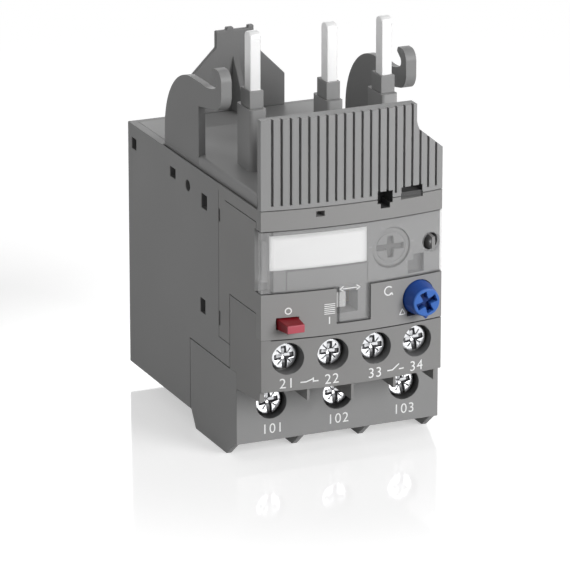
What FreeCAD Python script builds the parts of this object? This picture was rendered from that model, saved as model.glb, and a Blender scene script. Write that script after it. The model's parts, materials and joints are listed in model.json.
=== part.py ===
import FreeCAD, Part
import Sketcher
import math
import os

# Thermal overload relay, millimetres. X runs across the width, +Y to the back, +Z up.
# The origin is the middle of the outline, level with the lowest wire separators.
os.makedirs("parts", exist_ok=True)
doc = FreeCAD.newDocument("OverloadRelay")
sheet = doc.addObject("Spreadsheet::Sheet", "Sheet")

sizes = {
    # outline of the housings
    "body_width": 45.0, "body_depth": 70.4, "front_edge": -32.23, "module_gap": 5.4,
    "front_radius": 101.0, "wall": 1.6, "side_wall": 1.9, "running": 0.05, "shut_line": 0.2,
    "lip": 0.3, "moat": 0.35, "moat_depth": 1.5, "seam": 0.2, "seam_depth": 0.45,
    # levels
    "body_base": 3.5, "skirt_base": 16.2, "aux_base": 18.7, "block_top": 19.0, "step_top": 23.9,
    "panel_base": 29.7, "cheek_top": 34.8, "tab_base": 31.8, "cover_base": 39.25, "strip_base": 52.4,
    "body_top": 56.5, "deck_top": 59.0, "base_top": 71.8, "sleeve_top": 75.5, "blade_top": 87.5,
    "hood_top": 75.3,
    # distances behind the front edge
    "face_setback": 12.6, "aux_depth": 16.1, "module_depth": 21.7, "block_depth": 37.1,
    "deck_front": 3.4, "deck_back": 51.5, "blade_setback": 20.0,
    # main terminals
    "pole_pitch": 14.8, "main_axis": 11.5, "main_well": 3.35, "main_well_depth": 3.2,
    "main_head": 2.95, "main_shank": 2.0, "main_head_back": 1.6, "main_head_height": 1.5,
    "wire_hole": 3.4, "wire_setback": 24.0, "cage_half": 4.6, "cage_front": 18.9, "cage_back": 29.0,
    "cage_wall": 1.3, "cage_base": 6.5, "cage_top": 16.0, "pocket_half": 4.75,
    "separator": 1.15, "separator_front": 17.9, "separator_back": 34.2,
    # auxiliary terminals
    "aux_pitch": 9.47, "aux_first": -17.05, "aux_axis": 25.5, "aux_well": 3.33, "aux_head": 2.8,
    "aux_head_back": 1.9, "aux_head_height": 1.3, "aux_shank": 1.5, "aux_wire_hole": 1.6,
    "aux_wire_setback": 9.1, "fin": 0.6, "fin_offset": 4.1, "fin_setback": 0.4,
    # ribbed hood
    "hood_thickness": 1.7, "groove_width": 0.52, "groove_depth": 0.95, "groove_pitch": 1.88,
    "groove_first": -20.21, "groove_base": 57.5, "hood_step": 10.9, "hood_step_low": 71.9,
    "hood_dip": 11.6, "hood_dip_low": 69.9, "hood_side": 65.4, "hood_arc": 4.5,
    # clear cover
    "cover_thickness": 0.9, "recess": 1.0, "tab_left": -6.85, "tab_right": 0.6, "hinge_inset": 0.95,
    "hinge_setback": 1.35, "hinge_pin": 0.6, "hinge_pin_length": 1.0, "eye_inset": 2.4, "eye_radius": 2.0,
    # controls
    "dial_inset": 11.4, "dial_radius": 4.15, "dial_face": 0.0, "dial_thickness": 1.6,
    "dial_shaft": 1.5, "dial_slot": 0.42, "dial_slot_reach": 2.75,
    "stop_inset": 3.0, "stop_width": 4.75, "stop_low": 31.75, "stop_high": 34.25, "stop_reach": 3.25,
    "stop_play": 0.33, "stop_lid": 0.25,
    "reset_inset": 5.5, "reset_z": 34.75, "reset_base": 3.6, "reset_face": 2.95, "reset_reach": 4.0,
    "test_left": -6.45, "test_right": -4.4, "test_low": 34.85, "test_high": 38.05,
    # contactor side
    "blade_width": 2.35, "blade_depth": 3.0, "sleeve_width": 3.05, "sleeve_depth": 4.8,
    "base_width": 3.6, "base_depth": 7.5, "hook_plate": 1.5, "hook_tip": 2.3,
    "hook_inset": 3.6, "hook_low": 57.0, "hook_front": 33.4, "hook_back": 51.5, "shield_x": 1.3,
    "shield_thickness": 1.3,
    # bimetals and trip train
    "strip_thickness": 0.8, "strip_width": 5.0, "strip_low": 31.6, "strip_high": 51.0,
    "strip_setback": 45.0, "heater_half": 2.1, "heater_wire": 0.8, "heater_low": 37.0,
    "heater_pitch": 1.7, "trip_travel": 1.5,
}
for row, (word, value) in enumerate(sizes.items(), start=1):
    sheet.set("A%d" % row, word)
    sheet.set("B%d" % row, str(value))
    sheet.setAlias("B%d" % row, word)
doc.recompute()


class Size:
    """A number together with the sheet formula that gives it."""

    def __init__(self, value, text):
        self.value = value
        self.text = text

    def join(self, other, sign, value, swap=False):
        other = toSize(other)
        first, second = (other, self) if swap else (self, other)
        return Size(value, "(%s %s %s)" % (first.text, sign, second.text))

    def __add__(self, other):
        return self.join(other, "+", self.value + toSize(other).value)

    def __radd__(self, other):
        return self.join(other, "+", self.value + toSize(other).value, True)

    def __sub__(self, other):
        return self.join(other, "-", self.value - toSize(other).value)

    def __rsub__(self, other):
        return self.join(other, "-", toSize(other).value - self.value, True)

    def __mul__(self, other):
        return self.join(other, "*", self.value * toSize(other).value)

    def __rmul__(self, other):
        return self.join(other, "*", self.value * toSize(other).value, True)

    def __truediv__(self, other):
        return self.join(other, "/", self.value / toSize(other).value)

    def __neg__(self):
        return Size(-self.value, "(0 - %s)" % self.text)

    def root(self):
        return Size(math.sqrt(self.value), "sqrt(%s)" % self.text)


def toSize(value):
    return value if isinstance(value, Size) else Size(float(value), "%.6g" % value)


class Sizes:
    pass


S = Sizes()
for word, value in sizes.items():
    setattr(S, word, Size(value, "Sheet." + word))

left = -S.body_width / 2
right = S.body_width / 2
back = S.front_edge + S.body_depth
moduleRight = right - S.module_gap
moduleMiddle = (left + moduleRight) / 2
halfChord = (moduleRight - left) / 2
arcCentre = (S.front_radius * S.front_radius - halfChord * halfChord).root()


def behind(setback):
    return S.front_edge + setback


def frontAt(x):
    """The y of the bowed front face at x."""
    run = x - moduleMiddle
    return S.front_edge + arcCentre - (S.front_radius * S.front_radius - run * run).root()


def rect(a0, a1, b0, b1):
    return [(a0, b0), (a1, b0), (a1, b1), (a0, b1)]


def circle(a, b, radius):
    return {"centre": (a, b), "radius": radius}


def drawCircle(sketch, ring):
    a, b = (toSize(v) for v in ring["centre"])
    radius = toSize(ring["radius"])
    spot = FreeCAD.Vector(a.value, b.value, 0)
    index = sketch.addGeometry(Part.Circle(spot, FreeCAD.Vector(0, 0, 1), radius.value), False)
    bind(sketch, "DistanceX", a, index, 3)
    bind(sketch, "DistanceY", b, index, 3)
    number = sketch.addConstraint(Sketcher.Constraint("Radius", index, radius.value))
    sketch.setExpression("Constraints[%d]" % number, radius.text)


def bind(sketch, kind, size, index, end):
    number = sketch.addConstraint(Sketcher.Constraint(kind, -1, 1, index, end, size.value))
    sketch.setExpression("Constraints[%d]" % number, size.text)


def drawLoop(sketch, corners):
    """Closed outline; a corner with a third value starts an arc of that radius, bowed outwards
    to the right of the way the outline runs, or to the left when the radius is negative."""
    spots = [(toSize(c[0]), toSize(c[1])) for c in corners]
    ends = []
    for i, corner in enumerate(corners):
        a, b = spots[i], spots[(i + 1) % len(corners)]
        p = FreeCAD.Vector(a[0].value, a[1].value, 0)
        q = FreeCAD.Vector(b[0].value, b[1].value, 0)
        if len(corner) == 2:
            index = sketch.addGeometry(Part.LineSegment(p, q), False)
            ends.append((index, 1, 2))
            continue
        radius = toSize(corner[2])
        bow = 1 if radius.value > 0 else -1
        size = abs(radius.value)
        chord = q - p
        rise = math.sqrt(size ** 2 - chord.Length ** 2 / 4)
        across = FreeCAD.Vector(-chord.y, chord.x, 0).normalize()
        centre = (p + q) / 2 + across * rise * bow
        start, stop = (p, q) if bow > 0 else (q, p)
        first = math.atan2(start.y - centre.y, start.x - centre.x)
        last = math.atan2(stop.y - centre.y, stop.x - centre.x)
        if last < first:
            last += 2 * math.pi
        whole = Part.Circle(centre, FreeCAD.Vector(0, 0, 1), size)
        index = sketch.addGeometry(Part.ArcOfCircle(whole, first, last), False)
        ends.append((index, 1, 2) if bow > 0 else (index, 2, 1))
        number = sketch.addConstraint(Sketcher.Constraint("Radius", index, size))
        sketch.setExpression("Constraints[%d]" % number, radius.text if bow > 0 else (-radius).text)
    for i, (index, first, last) in enumerate(ends):
        following = ends[(i + 1) % len(ends)]
        sketch.addConstraint(Sketcher.Constraint("Coincident", index, last, following[0], following[1]))
        bind(sketch, "DistanceX", spots[i][0], index, first)
        bind(sketch, "DistanceY", spots[i][1], index, first)


planes = {"xy": ("XY_Plane", 1), "xz": ("XZ_Plane", -1), "yz": ("YZ_Plane", 1)}
nodes = []


class Piece:
    """One sub-part: a body built from padded and cut outlines."""

    def __init__(self, label):
        self.body = doc.addObject("PartDesign::Body", label)
        self.body.Label = label
        self.count = 0
        nodes.append(self.body)

    def feature(self, kind, plane, low, high, outlines):
        low, high = toSize(low), toSize(high)
        self.count += 1
        role, way = planes[plane]
        name = "%s_%d" % (self.body.Name, self.count)
        sketch = self.body.newObject("Sketcher::SketchObject", name + "_outline")
        datum = [f for f in self.body.Origin.OriginFeatures if f.Role == role][0]
        sketch.AttachmentSupport = [(datum, "")]
        sketch.MapMode = "FlatFace"
        offset = low if way > 0 else -high
        sketch.setExpression("AttachmentOffset.Base.z", offset.text)
        for outline in outlines:
            if isinstance(outline, dict):
                drawCircle(sketch, outline)
            else:
                drawLoop(sketch, outline)
        made = self.body.newObject(kind, name)
        made.Profile = sketch
        made.setExpression("Length", (high - low).text)
        if kind == "PartDesign::Pocket":
            made.Reversed = True
        sketch.Visibility = False
        return made

    def add(self, plane, low, high, *outlines):
        return self.feature("PartDesign::Pad", plane, low, high, outlines)

    def cut(self, plane, low, high, *outlines):
        return self.feature("PartDesign::Pocket", plane, low, high, outlines)

    def soften(self, size, chosen, kind="PartDesign::Fillet"):
        """Round or bevel the edges of the last feature that the test picks."""
        doc.recompute()
        tip = self.body.Tip
        names = ["Edge%d" % (i + 1) for i, e in enumerate(tip.Shape.Edges) if chosen(e)]
        made = self.body.newObject(kind, "%s_soft_%d" % (self.body.Name, self.count))
        made.Base = (tip, names)
        made.setExpression("Radius" if kind.endswith("Fillet") else "Size", toSize(size).text)
        return made


def bowed(low, high, depth):
    """Plan outline from x low to high between the bowed front and a straight line at depth."""
    return [(low, frontAt(low), S.front_radius), (high, frontAt(high)), (high, depth), (low, depth)]


def shell(low, high, near, far):
    """Plan outline of a skin that follows the bowed front, from near to far behind it."""
    return [(low, frontAt(low) + near, S.front_radius), (high, frontAt(high) + near),
            (high, frontAt(high) + far, -S.front_radius), (low, frontAt(low) + far)]


def seam(piece, near, far, low, high):
    """Thin line along a joint on the left side face."""
    piece.cut("yz", left - 1, left + S.seam_depth, rect(near, far, low, high))


poles = [-S.pole_pitch, toSize(0), S.pole_pitch]
bladeXs = [toSize(-15.0), toSize(1.8), toSize(13.9)]
auxXs = [S.aux_first + S.aux_pitch * i for i in range(4)]
bladeFront = behind(S.blade_setback)
bladeBack = bladeFront + S.blade_depth
baseFront = bladeFront - 1.7
baseBack = baseFront + S.base_depth
deckSide = left + S.side_wall
deckLeft = left + S.lip + S.moat
hookRight = right - S.hook_inset
coverMiddle = (S.cover_base + S.strip_base) / 2
labelLow, labelHigh = S.cover_base + 4.6, S.strip_base - 1.35
labelLeft, labelRight = left + 2.1, left + 22.6
eyeX = moduleRight - S.eye_inset
dialX = moduleRight - S.dial_inset
resetX = moduleRight - S.reset_inset
stopLeft = left + S.stop_inset
stopRight = stopLeft + S.stop_width
barLow = S.strip_low + 1.4
barHeight = 2.4
leverLow = barLow + 0.3
leverHeight = 1.8
stopX = (stopLeft + stopRight) / 2
stopZ = toSize(33.4)
stopSeat = behind(9.0)
resetSeat = behind(8.5)
tripPivot = (toSize(12.6), behind(16.0))
contactPivot = (toSize(-4.5), behind(18.2))


def rearHousing():
    piece = Piece("rear_housing")
    front, step, rear = behind(S.module_depth), behind(S.block_depth), back
    low = behind(S.aux_depth)
    piece.add("yz", left, right, [
        (low, S.block_top), (step, S.block_top), (step, S.body_base), (rear, S.body_base),
        (rear, S.body_top), (front, S.body_top), (front, S.step_top), (low, S.step_top)])
    floor = S.block_top + S.wall
    partition = S.pole_pitch / 2
    for a, b in ((deckSide, -partition - 0.6), (-partition + 0.6, partition - 0.6), (partition + 0.6, -deckSide)):
        piece.cut("xy", floor, S.body_top, rect(a, b, front + S.wall, rear - S.wall))
        piece.cut("xy", S.body_base + S.wall, floor + 1, rect(a, b, step + S.wall, rear - S.wall))
    piece.cut("xy", S.body_top - S.wall, S.body_top + 1, rect(deckSide, -deckSide, front + S.wall, rear - S.wall))
    moat = rect(left + S.lip, deckLeft, front - 1, behind(S.hook_back) + S.moat)
    piece.cut("xy", S.body_top - S.moat_depth, S.body_top + 1, moat)
    # busbar notches, trip bar slots and the lever window
    notches = [rect(x - 1.6, x + 1.6, front - 1, front + S.wall + 0.1) for x in bladeXs]
    piece.cut("xy", S.strip_high - 0.2, S.body_top + 1, *notches)
    slot = rect(behind(42.7), behind(49.7), barLow - 0.1, barLow + barHeight + 0.1)
    piece.cut("yz", -partition - 1, partition + 1, slot)
    piece.cut("xz", front - 1, front + S.wall + 0.1, rect(11.2, 16.6, barLow - 0.5, barLow + barHeight + 1))
    bars = [rect(x - 3.1, x + 3.1, behind(30) - 0.1, behind(31.2) + 0.1) for x in poles]
    piece.cut("xy", S.block_top - 1, floor + 1, *bars)
    # side pockets
    pockets = [rect(behind(65.8), behind(68.3), 51.2, 53.6), rect(behind(44.4), behind(47.3), 50.9, 53.1),
               rect(behind(27.7), behind(30.6), 48.9, 52.0), rect(behind(28.8), behind(31.4), 26.4, 29.5),
               circle(behind(37.8), 51.5, 1.2)]
    piece.cut("yz", left - 1, left + 1.5, *pockets)
    piece.cut("yz", right - 1.5, right + 1, *pockets[:4])
    return piece


def mainBlock():
    piece = Piece("main_block")
    face, rear = behind(S.face_setback), behind(S.block_depth)
    piece.add("xy", S.body_base, S.block_top, rect(left, right, face, rear))
    edge = [(face + 0.2, S.body_base + 0.5), (behind(S.separator_front), 0), (behind(S.separator_back), 0),
            (rear - 0.2, S.body_base + 0.5)]
    t = S.separator
    half = S.pole_pitch / 2
    for x in (left, -half - t / 2, half - t / 2, right - t):
        piece.add("yz", x, x + t, edge)
    well = [circle(x, S.main_axis, S.main_well) for x in poles]
    piece.cut("xz", face - 1, face + S.main_well_depth, *well)
    shank = [circle(x, S.main_axis, S.main_shank + 0.25) for x in poles]
    piece.cut("xz", face, behind(S.cage_front), *shank)
    box = S.pocket_half
    piece.cut("xy", S.cage_base, S.block_top + 1,
              *[rect(x - box, x + box, behind(S.cage_front) - 0.15, behind(34.5)) for x in poles])
    piece.cut("xy", S.body_base - 1, S.cage_base + 1,
              *[circle(x, behind(S.wire_setback), S.wire_hole) for x in poles])
    seam(piece, behind(S.aux_depth), rear + 1, S.block_top - S.seam, S.block_top + 1)
    seam(piece, rear - S.seam, rear + 1, S.body_base - 1, S.block_top + 1)
    return piece


def frontHousing():
    piece = Piece("front_housing")
    rear = behind(S.module_depth)
    low = behind(S.aux_depth)
    piece.add("xy", S.panel_base, S.body_top, bowed(left, moduleRight, rear))
    piece.add("xy", S.step_top, S.panel_base, rect(left, moduleRight, low, rear))
    cheek = left + 1.6
    piece.cut("yz", left - 1, cheek, rect(behind(2.6), low, S.panel_base - 1, S.cheek_top))
    inner = (left + S.side_wall, moduleRight - S.wall)
    piece.cut("xy", S.panel_base + S.wall, S.body_top - S.wall, rect(inner[0], inner[1], behind(3.4), rear + 1))
    piece.cut("xy", S.step_top + S.wall, S.panel_base + S.wall, rect(inner[0], inner[1], behind(19.6), rear + 1))
    piece.cut("xy", S.panel_base - 1, S.panel_base + S.wall + 0.1,
              *[rect(x - 1.9, x + 1.9, behind(12.0), behind(13.7)) for x in auxXs])
    # recess of the clear cover, its tab and its hinge
    far = S.recess
    piece.cut("xy", S.cover_base, S.strip_base, shell(left - 0.01, moduleRight + 0.01, -3, far))
    piece.cut("xy", S.tab_base, S.cover_base + 0.5, shell(S.tab_left, S.tab_right, -3, far))
    piece.cut("xy", S.cover_base, S.strip_base, rect(left - 1, left + 2.9, behind(-1), behind(3.2)))
    pins = circle(left + S.hinge_inset, behind(S.hinge_setback), S.hinge_pin + S.running)
    piece.cut("xy", S.cover_base - S.hinge_pin_length - 0.2, S.strip_base + S.hinge_pin_length + 0.2, pins)
    # label seat and dial well
    piece.cut("xy", labelLow - 0.05, labelHigh + 0.05, shell(labelLeft - 0.05, labelRight + 0.05, -1, far + 0.2))
    piece.cut("xz", behind(-3), behind(S.dial_face + S.dial_thickness + 0.2),
              circle(dialX, coverMiddle, S.dial_radius + 0.15))
    piece.cut("xz", behind(-3), behind(4), circle(dialX, coverMiddle, S.dial_shaft + S.running))
    # control openings
    piece.cut("xz", behind(-3), behind(4),
              rect(stopLeft, stopRight, S.stop_low, S.stop_high), rect(-6.64, -1.83, 33.66, 38.27))
    piece.cut("xz", behind(-3), behind(6.2), circle(resetX, S.reset_z, S.reset_base + 0.12))
    piece.cut("xz", behind(-3), behind(1), rect(8.9, 10.6, 31.1, 32.4))
    # recesses of the panel behind the window and the cover
    piece.cut("xy", S.cover_base + 0.3, labelLow - 0.2, shell(left + 5.4, labelRight + 0.3, -1, far + 0.15))
    piece.cut("xz", behind(-3), behind(1.6), rect(eyeX - 5.2, eyeX - 1.45, S.cover_base + 0.5, coverMiddle - 3.3))
    piece.cut("xz", behind(-3), behind(1.6), rect(eyeX - 3.9, eyeX - 1.45, coverMiddle - 3.4, coverMiddle - 2.2))
    # latch openings shared with the hood
    piece.cut("xz", behind(-3), behind(0.6), rect(-11.25, -9.45, 54.65, 55.8))
    piece.cut("xz", behind(-3), behind(2.6), rect(2.0, 5.4, 55.7, S.body_top + 1), rect(2.7, 4.8, 54.7, 55.8))
    piece.cut("xz", behind(-3), behind(-0.4), rect(7.3, 12.4, 55.9, S.body_top + 1))
    # moat beside the deck, joint lines and latch slots of the left side
    piece.cut("xy", S.body_top - S.moat_depth, S.body_top + 1,
              rect(left + S.lip, deckLeft, behind(2.2), rear + 1))
    seam(piece, rear - S.seam, rear + 1, S.step_top - 1, S.body_top - S.moat_depth)
    seam(piece, behind(2.5), behind(18.3), 53.75, 53.75 + S.seam)
    seam(piece, behind(2.5) - S.seam, behind(2.5), S.strip_base - 0.5, 53.75 + S.seam)
    seam(piece, low, rear + 1, S.step_top - 1, S.step_top + S.seam)
    for x in (left, moduleRight):
        piece.cut("yz", x - 1.1, x + 1.1, rect(behind(20.8), rear + 1, 48.6, 51.3),
                  rect(behind(20.8), rear + 1, 26.5, 29.6))
    # top notches for the blades
    piece.cut("xy", S.body_top - S.wall - 0.1, S.body_top + 1,
              *[rect(x - 1.6, x + 1.6, bladeFront - 0.2, rear + 1) for x in bladeXs])
    # seats of the two return springs
    floor = S.panel_base + S.wall
    piece.add("xz", stopSeat, stopSeat + 0.8, rect(inner[0] - 0.2, stopX + 2.6, floor - 0.2, 36.5))
    piece.cut("xz", stopSeat - 0.1, stopSeat + 0.9, circle(stopX, stopZ, 1.0 + 2 * S.running))
    piece.add("xz", resetSeat, resetSeat + 0.8, rect(resetX - 3.2, inner[1] + 0.2, floor - 0.2, 38.6))
    piece.cut("xz", resetSeat - 0.1, resetSeat + 0.9, circle(resetX, S.reset_z, 1.5 + 2 * S.running))
    # sealing lug behind the hole of the cover
    piece.cut("xz", behind(-3), behind(2.2), circle(eyeX, coverMiddle, S.eye_radius - 0.2))
    piece.add("yz", eyeX - 0.35, eyeX + 0.35,
              [(behind(2.6), coverMiddle - 1.6), (behind(-1.2), coverMiddle - 1.2),
               (behind(-1.2), coverMiddle + 1.2), (behind(2.6), coverMiddle + 1.6)])
    piece.cut("yz", eyeX - 0.6, eyeX + 0.6, circle(behind(-0.2), coverMiddle, 0.6))
    return piece


def auxBlock():
    piece = Piece("aux_block")
    rear, face = behind(S.aux_depth), behind(S.face_setback)
    piece.add("xy", S.aux_base, S.panel_base, bowed(left, moduleRight, rear))
    piece.cut("xy", S.aux_base - 1, S.block_top, rect(left - 1, moduleRight + 1, face, rear + 1))
    # cheek beside the control housing, and a skirt and fins between the wires
    piece.add("xy", S.panel_base, S.cheek_top, rect(left, left + 1.5, behind(2.6) + 0.05, rear))
    fins = [(x + S.fin_offset, S.fin, frontAt(x + S.fin_offset) + S.fin_setback, drop)
            for x, drop in zip(auxXs, (0, 1.0, -0.1, -0.1))]
    for x, thick, tip, drop in [(left, 1.05, behind(0.8), -0.3)] + fins:
        low = S.skirt_base - drop
        piece.add("yz", x, x + thick, [
            (tip, S.aux_base + 0.2), (tip, low), (behind(5.5), low - 0.3 if x is left else low),
            (face, S.skirt_base - 0.6 if x is left else low), (face, S.aux_base), (face - 0.3, S.aux_base + 0.2)])
    piece.cut("xy", S.panel_base - S.seam, S.panel_base, shell(left + 2, moduleRight + 0.01, -3, 0.4))
    seam(piece, behind(2.6), rear + 1, S.cheek_top - S.seam, S.cheek_top + 1)
    seam(piece, rear - S.seam, rear + 1, S.aux_base - 1, S.cheek_top + 1)
    piece.cut("xz", behind(-3), behind(2.4), *[circle(x, S.aux_axis, S.aux_well) for x in auxXs])
    piece.cut("xz", behind(0), behind(5.2), *[circle(x, S.aux_axis, S.aux_shank + 0.2) for x in auxXs])
    piece.cut("xy", S.aux_base + 1.5, S.panel_base - 1.3,
              *[rect(x - 3.4, x + 3.4, behind(5.2), behind(13.2)) for x in auxXs])
    piece.cut("xy", S.panel_base - 2, S.panel_base + 0.5,
              *[rect(x - 1.9, x + 1.9, behind(12), behind(13.2)) for x in auxXs])
    piece.cut("xy", S.aux_base - 1, S.aux_base + 2,
              *[circle(x, behind(S.aux_wire_setback), S.aux_wire_hole) for x in auxXs])
    return piece


def hood():
    piece = Piece("hood")
    rear = behind(S.hood_thickness)
    piece.add("xy", S.body_top, S.hood_top, bowed(left, moduleRight, rear))
    far = moduleRight + 1
    piece.cut("xz", behind(-4), behind(8), [
        (S.hood_step, S.hood_top + 1), (S.hood_step, S.hood_step_low, S.hood_arc), (S.hood_dip, S.hood_dip_low),
        (moduleRight, S.hood_side), (far, S.hood_side), (far, S.hood_top + 1)])
    middles = [S.groove_first + S.groove_pitch * i for i in range(20)]
    half = S.groove_width / 2
    piece.cut("xy", S.groove_base, S.hood_top + 1,
              *[rect(x - half, x + half, behind(-4), frontAt(x) + S.groove_depth) for x in middles])
    piece.cut("xy", S.body_top - 1, S.body_top + S.seam, shell(left - 0.01, moduleRight + 0.01, -3, 0.4))
    piece.add("xy", S.body_top, S.body_top + 1.6, rect(left + 2, moduleRight - 2, rear - 0.5, rear + 1.6))
    piece.cut("xz", behind(-3), behind(2.8), rect(2.0, 5.4, S.body_top - 1, 58.2))
    piece.cut("xz", behind(-3), behind(2.8), rect(7.4, 12.3, S.body_top + 0.6, 58.4))
    piece.cut("xz", behind(-3), behind(-0.4), rect(7.3, 12.4, S.body_top - 1, S.body_top + 0.7))
    return piece


def topDeck():
    piece = Piece("top_deck")
    front, edge, step = behind(S.deck_front), behind(S.deck_back), behind(S.module_depth)
    piece.add("xy", S.body_top, S.deck_top, [
        (deckLeft, front), (moduleRight - 1.5, front), (moduleRight - 1.5, step), (-deckSide, step),
        (-deckSide, edge), (deckLeft, edge)])
    piece.soften(0.7, lambda e: e.BoundBox.YLength > 30 and abs(e.BoundBox.XMax - deckLeft.value) < 0.01
                 and abs(e.BoundBox.ZMin - S.deck_top.value) < 0.01)
    inside = behind(S.module_depth) + S.wall + 0.1
    piece.add("xy", S.body_top - S.wall, S.body_top,
              rect(deckSide, -deckSide, inside, back - S.wall))
    for x in bladeXs:
        half = S.base_width / 2
        piece.add("xy", S.deck_top - 0.2, S.base_top, rect(x - half, x + half, baseFront, baseBack))
        piece.soften(0.8, verticalAt(x, half, baseFront, baseBack, S.base_top))
    gap = S.running
    holes = [rect(x - S.blade_width / 2 - gap, x + S.blade_width / 2 + gap, bladeFront - gap, bladeBack + gap)
             for x in bladeXs]
    piece.cut("xy", S.body_top - S.wall - 1, S.base_top + 1, *holes)
    near, far = behind(S.hook_front) - gap, edge + 1
    piece.cut("xy", S.hook_low, S.deck_top + 1, rect(hookRight - gap, hookRight + S.hook_plate + gap, near, far),
              rect(deckLeft - 1, deckLeft + S.hook_plate + gap, near, far))
    return piece


def verticalAt(x, half, near, far, top):
    """Test for the four upright edges of a block on the deck."""
    def chosen(edge):
        box = edge.BoundBox
        upright = box.ZLength > 5 and box.XLength < 0.01 and box.YLength < 0.01 and abs(box.ZMax - top.value) < 0.01
        return upright and abs(abs(box.XMin - x.value) - half.value) < 0.01
    return chosen


def hook(label, low):
    piece = Piece(label)
    f = behind
    finger = [
        (f(24.8), 75.4, -1.2), (f(24.3), 77.3), (f(25.9), 78.4, 1.0), (f(25.2), 79.5), (f(23.6), 79.5, 2.4),
        (f(21.5), 77.2), (f(21.5), 74.6, 3.4), (f(24.0), 71.1), (f(26.0), 70.7)]
    piece.add("yz", low, low + S.hook_plate, [
        (f(S.hook_back), S.hook_low), (f(S.hook_back), 60.3, 14.3), (f(37.2), 74.6), (f(31.6), 74.6, -14.0)]
        + finger + [(f(S.hook_front), 69.4), (f(S.hook_front), S.hook_low)])
    piece.add("yz", low, low + S.hook_tip, finger[:-1] + [(f(27.2), 70.6), (f(27.2), 74.4)])
    return piece


def rearShield():
    piece = Piece("rear_shield")
    x, top = S.shield_x, 74.1
    face = back - S.wall
    piece.add("xz", face, face + S.shield_thickness, [
        (x - 11.4, S.body_top), (x + 11.4, S.body_top), (x + 11.4, 63.4), (x + 4.3, 70.5), (x + 4.3, top),
        (x - 4.3, top), (x - 4.3, 70.5), (x - 11.4, 63.4)])
    piece.add("xz", face, face + S.shield_thickness, rect(x - 1.9, x - 0.3, top - 0.2, top + 0.6),
              rect(x + 3.0, x + 4.3, top - 0.2, top + 0.6))
    piece.add("yz", x - 0.6, x + 0.6,
              [(face, 68.5), (face - 4.8, 61.0), (face - 4.8, S.body_top), (face, S.body_top)])
    return piece


def sleeve(label, x):
    piece = Piece(label)
    half = S.sleeve_width / 2
    near = bladeFront - 0.6
    piece.add("xy", S.base_top, S.sleeve_top, rect(x - half, x + half, near, near + S.sleeve_depth))
    gap = S.running
    inner = rect(x - S.blade_width / 2 - gap, x + S.blade_width / 2 + gap, bladeFront - gap, bladeBack + gap)
    piece.cut("xy", S.base_top - 1, S.sleeve_top + 1, inner)
    return piece


def blade(label, x, pole):
    piece = Piece(label)
    half = S.blade_width / 2
    round1 = 1.3
    piece.add("yz", x - half, x + half, [
        (bladeFront, S.strip_high), (bladeBack, S.strip_high), (bladeBack, S.blade_top - round1, round1 + 0.001),
        (bladeBack - round1, S.blade_top), (bladeFront + round1, S.blade_top, round1 + 0.001),
        (bladeFront, S.blade_top - round1)])
    tail = behind(S.strip_setback)
    low = S.strip_high
    piece.add("xy", low, low + 1.2, [
        (x - half, bladeFront + 0.2), (x + half, bladeFront + 0.2), (x + half, behind(30)),
        (pole + 1.6, behind(36)), (pole + 1.6, tail + 2.4), (pole - 1.6, tail + 2.4), (pole - 1.6, behind(36)),
        (x - half, behind(30))])
    return piece


def bimetal(label, pole):
    piece = Piece(label)
    middle = behind(S.strip_setback)
    half = S.strip_thickness / 2
    piece.add("xy", S.strip_low, S.strip_high, rect(pole - half, pole + half, middle - S.strip_width / 2,
                                                    middle + S.strip_width / 2 - 0.1))
    return piece


def heater(label, pole):
    """Winding around the strip, with its lead down to the load bar."""
    piece = Piece(label)
    middle = behind(S.strip_setback)
    half = S.heater_half
    reach = S.strip_width / 2 + 1.2
    wire = S.heater_wire
    inner = (half - wire, reach - wire)
    for turn in range(6):
        low = S.heater_low + S.heater_pitch * turn
        piece.add("xy", low, low + wire, rect(pole - half, pole + half, middle - reach, middle + reach))
        if turn:
            piece.add("xy", low - S.heater_pitch, low + wire,
                      rect(pole - half, pole - half + wire, middle - reach, middle - reach + 1.6))
    high = S.heater_low + S.heater_pitch * 5
    piece.add("xy", high, S.strip_high, rect(pole - 0.8, pole + 0.8, middle - reach, middle - reach + wire))
    piece.add("xy", S.heater_low - 9.3, S.heater_low + wire,
              rect(pole - 0.8, pole + 0.8, middle - reach, middle - reach + wire))
    piece.cut("xy", S.heater_low - 1, high + 2,
              rect(pole - inner[0], pole + inner[0], middle - inner[1], middle + inner[1]))
    return piece


def loadBar(label, pole):
    """From the lower end of the winding down into the cage of the main terminal."""
    piece = Piece(label)
    near = behind(30)
    top = S.heater_low - 9.3
    end = behind(S.strip_setback) - S.strip_width / 2 - 1.2 + S.heater_wire
    piece.add("xy", top - 1.2, top, rect(pole - 3, pole + 3, near, end))
    piece.add("xy", 17.0, top, rect(pole - 3, pole + 3, near, near + 1.2))
    rear = behind(S.cage_back) - S.cage_wall
    piece.add("xy", 17.0, 18.2, rect(pole - 3, pole + 3, rear - 1.3, near + 1.2))
    piece.add("xy", 8.0, 18.2, rect(pole - 3, pole + 3, rear - 1.3, rear - 0.1))
    return piece


def mainClamps():
    piece = Piece("main_clamps")
    wall = S.cage_wall
    near, far = behind(S.cage_front), behind(S.cage_back)
    for pole in poles:
        piece.add("xy", S.cage_base, S.cage_top, rect(pole - S.cage_half, pole + S.cage_half, near, far))
    for pole in poles:
        piece.cut("xy", S.cage_base - 1, S.cage_top + 1,
                  rect(pole - S.cage_half + wall, pole + S.cage_half - wall, near + wall, far - wall))
    piece.cut("xz", near - 1, near + wall + 0.5, *[circle(p, S.main_axis, S.main_shank + 0.02) for p in poles])
    return piece


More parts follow.
